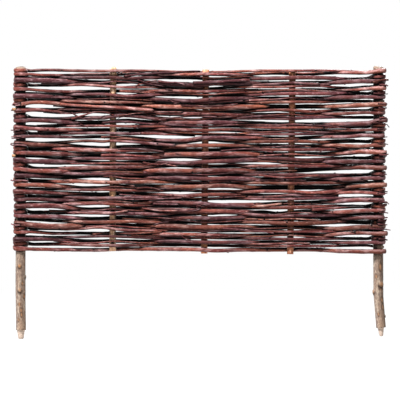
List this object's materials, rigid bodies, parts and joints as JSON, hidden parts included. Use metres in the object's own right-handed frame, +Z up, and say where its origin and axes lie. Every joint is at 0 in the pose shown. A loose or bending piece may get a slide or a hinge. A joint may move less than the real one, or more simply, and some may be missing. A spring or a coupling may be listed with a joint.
{
  "type": "willow lawn edging panel",
  "caption": "Low garden edging panel of close-woven willow rods on upright stakes; two longer pointed end stakes push into the soil.",
  "frame": {"origin": "under the middle of the panel, level with the point of the longer end stake", "axes": "+X along the panel to the right as seen from the front, -Y out of the front, +Z up"},
  "size_m": [0.5978, 0.0299, 0.4372],
  "materials": {
    "stake_bark": "grey-brown bark",
    "upright_bark": "tan bark",
    "rod_red": "smooth reddish bark",
    "rod_plum": "smooth dark purplish bark",
    "rod_brown": "smooth orange-brown bark"
  },
  "bodies": {
    "root": {"end_stake_left": "stake_bark", "end_stake_right": "stake_bark", "upright_left": "upright_bark", "upright_middle": "upright_bark", "upright_right": "upright_bark", "rod_01": "rod_red", "rod_02": "rod_plum", "rod_03": "rod_red", "rod_04": "rod_brown", "rod_05": "rod_plum", "rod_06": "rod_red", "rod_07": "rod_plum", "rod_08": "rod_red", "rod_09": "rod_brown", "rod_10": "rod_plum", "rod_11": "rod_red", "rod_12": "rod_plum", "rod_13": "rod_red", "rod_14": "rod_brown", "rod_15": "rod_plum", "rod_16": "rod_red", "rod_17": "rod_plum", "rod_18": "rod_red", "rod_19": "rod_brown", "rod_20": "rod_plum", "rod_21": "rod_red", "rod_22": "rod_plum", "rod_23": "rod_red"}
  },
  "joints": []
}
